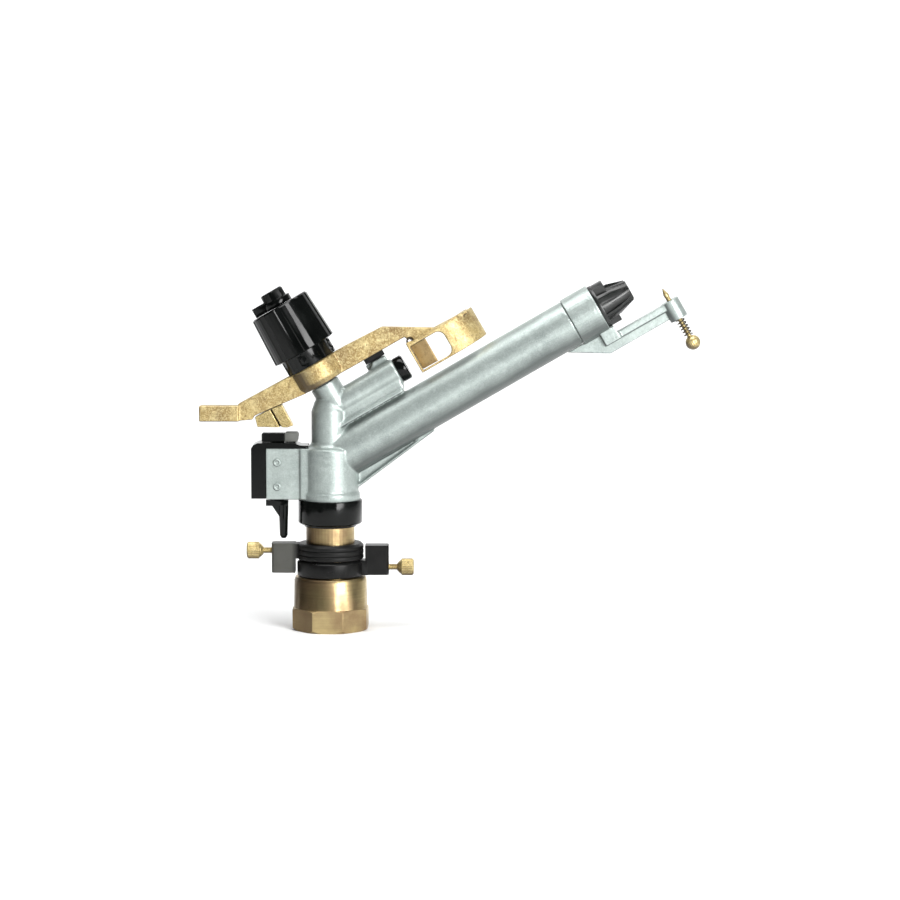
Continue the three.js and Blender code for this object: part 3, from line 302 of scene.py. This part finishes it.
def clean_copy(node):
    """the CAD node's solid with its flat faces whole again"""
    source = frame["nodes"][node]
    bm = bmesh.new()
    bm.from_mesh(source.data)
    bm.transform(source.matrix_world)
    bmesh.ops.remove_doubles(bm, verts=bm.verts, dist=2e-6)
    bmesh.ops.dissolve_limit(bm, angle_limit=math.radians(0.6), verts=bm.verts, edges=bm.edges)
    return bm


def to_mesh(bm, name):
    mesh = bpy.data.meshes.new(name)
    bmesh.ops.recalc_face_normals(bm, faces=bm.faces)
    bm.to_mesh(mesh)
    bm.free()
    return mesh


BROAD_FLAT = 1.2e-4  # square metres; faces above this stay flat


SHARP = 32      # degrees; edges sharper than this are broken
CAP_SHARP = 10  # the same for the cap, whose flats meet at low angles


def soften(node, width, look=None, angle=SHARP):
    """CAD node with broken edges and smooth round stretches"""
    mesh = to_mesh(clean_copy(node), node)
    mesh.shade_smooth()
    for face in mesh.polygons:
        if face.area > BROAD_FLAT:
            face.use_smooth = False
    obj = link(node + "_shown", mesh, BODY_OF[node], SLOT_OF[node], look, [node])
    bevel = obj.modifiers.new("edges", "BEVEL")
    bevel.width = width
    bevel.segments = 2
    bevel.limit_method = "ANGLE"
    bevel.angle_limit = math.radians(angle)
    bevel.use_clamp_overlap = True
    bevel.harden_normals = True
    return obj


def cast(node, voxel, smooth, look=None):
    """CAD node with the filleted corners of a casting"""
    mesh = to_mesh(clean_copy(node), node)
    obj = link(node + "_shown", mesh, BODY_OF[node], SLOT_OF[node], look, [node])
    remesh = obj.modifiers.new("skin", "REMESH")
    remesh.mode = "VOXEL"
    remesh.voxel_size = voxel
    remesh.use_smooth_shade = True
    relax = obj.modifiers.new("fillets", "SMOOTH")
    relax.factor = 0.5
    relax.iterations = smooth
    return obj


def axis_frame(origin, axis):
    """matrix that puts local Z on axis at origin"""
    turn = Vector((0, 0, 1)).rotation_difference(Vector(axis).normalized()).to_matrix().to_4x4()
    return Matrix.Translation(origin) @ turn


def skin_rows(bm, rows):
    """closes rings of points into one skin with both ends capped"""
    for low, high in zip(rows, rows[1:]):
        for i in range(len(low)):
            j = (i + 1) % len(low)
            bm.faces.new((low[i], low[j], high[j], high[i]))
    bm.faces.new(list(reversed(rows[0])))
    bm.faces.new(rows[-1])


def steps_of(points, fine=0.00025):
    """heights and a radius for each, along straight stretches of a profile of (height, radius)"""
    heights, table = [], []
    for (z0, r0), (z1, r1) in zip(points, points[1:]):
        count = max(1, int(abs(z1 - z0) / fine))
        for i in range(count):
            t = i / count
            heights.append(z0 + (z1 - z0) * t)
            table.append(r0 + (r1 - r0) * t)
    heights.append(points[-1][0])
    table.append(points[-1][1])
    return heights, table


def shaped(name, points, matrix, change=None, steps=64, fine=0.00025):
    """turned piece whose radius is changed by change(angle, height, radius)"""
    heights, table = steps_of(points, fine)
    bm = bmesh.new()
    rows = []
    for z, r0 in zip(heights, table):
        row = []
        for i in range(steps):
            a = TAU * i / steps
            r = change(a, z, r0) if change else r0
            row.append(bm.verts.new((r * math.cos(a), r * math.sin(a), z)))
        rows.append(row)
    skin_rows(bm, rows)
    bm.transform(matrix)
    mesh = to_mesh(bm, name)
    mesh.shade_smooth()
    return mesh


def wire(name, points, radius, sides=12):
    """round wire along points, closed at both ends"""
    bm = bmesh.new()
    rows = []
    normal = None
    for i, p in enumerate(points):
        ahead = (points[min(i + 1, len(points) - 1)] - points[max(i - 1, 0)]).normalized()
        if normal is None:
            normal = ahead.orthogonal().normalized()
        normal = (normal - ahead * normal.dot(ahead)).normalized()
        side = ahead.cross(normal)
        row = []
        for k in range(sides):
            a = TAU * k / sides
            row.append(bm.verts.new(p + radius * (math.cos(a) * normal + math.sin(a) * side)))
        rows.append(row)
    skin_rows(bm, rows)
    mesh = to_mesh(bm, name)
    mesh.shade_smooth()
    return mesh


def helix(matrix, radius, z0, z1, turns, per_turn=28):
    count = int(turns * per_turn)
    out = []
    for i in range(count + 1):
        t = i / count
        a = TAU * turns * t
        out.append(matrix @ Vector((radius * math.cos(a), radius * math.sin(a), z0 + (z1 - z0) * t)))
    return out


# castings
CASTINGS = {  # voxel size and passes of smoothing
    "body_casting": (0.0009, 5), "breaker_bracket": (0.0006, 3), "drive_arm": (0.0007, 3),
    "striker": (0.0005, 2), "drive_vane": (0.0005, 2),
}
for node, (voxel, smooth) in CASTINGS.items():
    cast(node, voxel, smooth, "bright_brass" if node == "striker" else None)

# moulded and machined pieces, with the width of their broken edges
SPECIAL = {
    "upper_stop_ring": "dusty_plastic", "nozzle_nut": "rib_plastic",
    "housing_screw_lower": "cast_aluminium", "housing_screw_upper": "cast_aluminium",
}
BROKEN_EDGE = {
    "inlet_nut": 0.0005, "swivel_tube": 0.0003, "swivel_collar": 0.0005, "lower_stop_ring": 0.0005,
    "upper_stop_ring": 0.0005, "nozzle_nut": 0.0005, "drive_cap": 0.0005, "spring_cap": 0.0006,
    "tension_adjuster": 0.0005, "trip_housing": 0.0006, "trip_lever": 0.0006, "trip_dog": 0.0008,
    "dog_insert": 0.0009, "bumper_pad": 0.0006, "lower_stop_insert": 0.0003, "upper_stop_insert": 0.0003,
    "housing_screw_lower": 0.0003, "housing_screw_upper": 0.0003, "pivot_washer": 0.0002,
    "nozzle_ring": 0.0003, "drive_nozzle": 0.0003, "inlet_gasket": 0.0004,
}
for node, width in BROKEN_EDGE.items():
    soften(node, width, SPECIAL.get(node), CAP_SHARP if node == "spring_cap" else SHARP)

# inner pieces keep the CAD shape
INNER_EDGE = 0.0002
for node in ("vane_pin", "lower_washer", "rubber_washer", "wear_washer", "upper_seal",
             "stream_straightener", "nozzle_gasket", "pivot_pin", "pivot_nut", "lower_bush",
             "upper_bush", "trip_shaft", "detent_plunger"):
    soften(node, INNER_EDGE)


# thumb screws: threaded shank, cone neck and knurled head
HEAD_L = 0.0124
SHANK_R = 0.0030
NECK_R = 0.0064
HEAD_R = 0.0077
HEAD_KNURLS = 14


def thread(pitch, depth):
    """change of radius that cuts a thread"""
    def change(a, z, r):
        phase = (z / pitch - a / TAU) % 1.0
        return r - depth * (1 - abs(2 * phase - 1))
    return change


def thumb_screw(node, side):
    """screw along x, its head outwards; side is 1 or -1"""
    low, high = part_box(node)
    z = (low[2] + high[2]) / 2
    start, end = (low[0], high[0]) if side > 0 else (-high[0], -low[0])
    head = end - HEAD_L
    points = [(start, SHANK_R / 2), (start + 0.0012, SHANK_R), (head - 0.0032, SHANK_R),
              (head - 0.0030, 0.0036), (head - 0.0008, 0.0060), (head, NECK_R),
              (head + 0.0012, HEAD_R), (end - 0.0014, HEAD_R), (end - 0.0004, 0.0070), (end, 0.0060)]
    cut = thread(0.001, 0.0006)

    def change(a, z, r):
        if z < head - 0.0032:
            return cut(a, z, r)
        if head + 0.001 < z < end - 0.0012:
            return r + 0.0002 - 0.00055 * abs(math.sin(a * HEAD_KNURLS))
        return r
    matrix = axis_frame(Vector((0, 0, z)), (side, 0, 0))
    mesh = shaped(node, points, matrix, change, steps=112, fine=0.0002)
    link(node + "_shown", mesh, BODY_OF[node], SLOT_OF[node], "bright_brass", [node])


thumb_screw("lower_stop_screw", 1)
thumb_screw("upper_stop_screw", -1)

# jet breaker: pointed needle with thread, ball knob and spring; heights are along SQUARE
NEEDLE_U = 0.3471
NEEDLE_R = 0.0024
NEEDLE_POINT = -0.0147
THREAD_TOP = -0.0235
BALL_Z = -0.072
BALL_R = 0.0069
BALL_KNURLS = 12
needle_frame = axis_frame(tilted(NEEDLE_U, 0, 0), SQUARE)
needle_thread = thread(0.0009, 0.0005)


def needle_change(a, z, r):
    return needle_thread(a, z, r) if z < THREAD_TOP else r


def ball_change(a, z, r):
    ring = max(0.0, 1 - abs(z - BALL_Z) / 0.0045)
    return r - 0.00035 * ring * abs(math.sin(a * BALL_KNURLS))


needle = [(-0.069, 0.0023), (-0.0225, NEEDLE_R), (-0.0205, NEEDLE_R), (NEEDLE_POINT, 0.0003)]
link("needle", shaped("needle", needle, needle_frame, needle_change, steps=32), "needle",
     "turned_brass", "bright_brass", ["breaker_screw"])
ball = []
for degrees in range(-84, 70, 6):
    a = math.radians(degrees)
    ball.append((BALL_Z + BALL_R * math.sin(a), BALL_R * math.cos(a)))
ball.append((-0.0652, 0.0027))
link("ball_knob", shaped("ball_knob", ball, needle_frame, ball_change, steps=96, fine=0.0004),
     "needle", "turned_brass", "bright_brass", ["breaker_knob"])


# springs
def coil(name, points, radius, node, sides=12):
    return link(name, wire(name, points, radius, sides), "head", "spring_steel", None, [node])


needle_coil = coil("needle_spring", helix(needle_frame, 0.0037, -0.0644, -0.0474, 5.5), 0.0006,
                   "breaker_spring")
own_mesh(needle_coil)

PIVOT_U = 0.0321
pivot_frame = axis_frame(tilted(PIVOT_U, 0, 0), SQUARE)
coil("arm_spring", helix(pivot_frame, 0.0135, 0.0893, 0.1328, 6.5), 0.0015, "torsion_spring")

DETENT_Z = 0.154
low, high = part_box("detent_spring")
detent_frame = axis_frame(Vector((low[0], 0, DETENT_Z)), (1, 0, 0))
detent_points = helix(detent_frame, 0.0018, 0.0004, high[0] - low[0] - 0.0004, 6)
coil("catch_spring", detent_points, 0.0003, "detent_spring", 8)

# ---------------------------------------------------------------- stage
def area(name, place, target, size, power):
    data = bpy.data.lights.new(name, "AREA")
    data.shape = "RECTANGLE"
    data.size, data.size_y = size
    data.energy = power
    obj = bpy.data.objects.new(name, data)
    bpy.context.scene.collection.objects.link(obj)
    obj.location = place
    aim(obj, target)


FLOOR_FRONT = -1.7
FLOOR_BACK = 1.2
SWEEP_R = 0.8
SWEEP_STEPS = 12
WALL_TOP = 3.5
HALF_WIDTH = 4.0


def backdrop():
    """floor that curves up into a wall behind the object"""
    bm = bmesh.new()
    rows = []
    path = [(FLOOR_FRONT, 0.0), (FLOOR_BACK, 0.0)]
    for i in range(1, SWEEP_STEPS + 1):
        a = math.radians(90 * i / SWEEP_STEPS)
        path.append((FLOOR_BACK + SWEEP_R * math.sin(a), SWEEP_R - SWEEP_R * math.cos(a)))
    path.append((FLOOR_BACK + SWEEP_R, WALL_TOP))
    for y, z in path:
        rows.append([bm.verts.new((x, y, z)) for x in (-HALF_WIDTH, HALF_WIDTH)])
    for a, b in zip(rows, rows[1:]):
        bm.faces.new((a[0], a[1], b[1], b[0]))
    mesh = to_mesh(bm, "backdrop")
    mesh.shade_smooth()
    obj = bpy.data.objects.new("backdrop", mesh)
    bpy.context.scene.collection.objects.link(obj)
    n = Nodes("paper")
    tone = n.noise(3.0, 2.0)
    colour = n.mix(tone, rgb(0.93, 0.935, 0.93), rgb(0.95, 0.95, 0.95))
    mesh.materials.append(n.done(Base_Color=colour, Roughness=0.9))


def dark_card():
    """card beside the set that only gloss sees, and that darkens the left edges"""
    bm = bmesh.new()
    corners = [(-0.8, -1.5, 0.005), (-0.8, 0.7, 0.005), (-0.95, 0.7, 1.4), (-0.95, -1.5, 1.4)]
    bm.faces.new([bm.verts.new(c) for c in corners])
    mesh = bpy.data.meshes.new("dark_card")
    bm.to_mesh(mesh)
    bm.free()
    n = Nodes("card")
    colour = n.mix(n.noise(3.0, 2.0), rgb(0.01, 0.01, 0.01), rgb(0.02, 0.02, 0.02))
    mesh.materials.append(n.done(Base_Color=colour, Roughness=0.9))
    obj = bpy.data.objects.new("dark_card", mesh)
    bpy.context.scene.collection.objects.link(obj)
    obj.visible_camera = False
    obj.visible_diffuse = False
    obj.visible_shadow = False


backdrop()
dark_card()
CENTRE = (0.11, 0, 0.17)
area("key", (1.22, -1.87, 0.68), CENTRE, (0.98, 1.15), 54)
area("top", (-0.1, -0.35, 2.0), CENTRE, (1.7, 1.0), 34)
area("wall", (0.1, 0.5, 1.7), (0.1, 1.9, 0.5), (3.0, 0.6), 24)
world = bpy.data.worlds.new("studio")
bpy.context.scene.world = world
world.use_nodes = True
WORLD_LIGHT = 0.10  # what the world adds to the lamps
WORLD_SEEN = 1.05   # how pale it looks past the floor's end
tree = world.node_tree
sky = tree.nodes["Background"]
sky.inputs["Color"].default_value = (0.92, 0.96, 1.0, 1.0)
strength = tree.nodes.new("ShaderNodeMapRange")
strength.inputs["To Min"].default_value = WORLD_LIGHT
strength.inputs["To Max"].default_value = WORLD_SEEN
seen = tree.nodes.new("ShaderNodeLightPath").outputs["Is Camera Ray"]
tree.links.new(seen, strength.inputs["Value"])
tree.links.new(strength.outputs[0], sky.inputs["Strength"])
bpy.context.scene.view_settings.view_transform = "Standard"
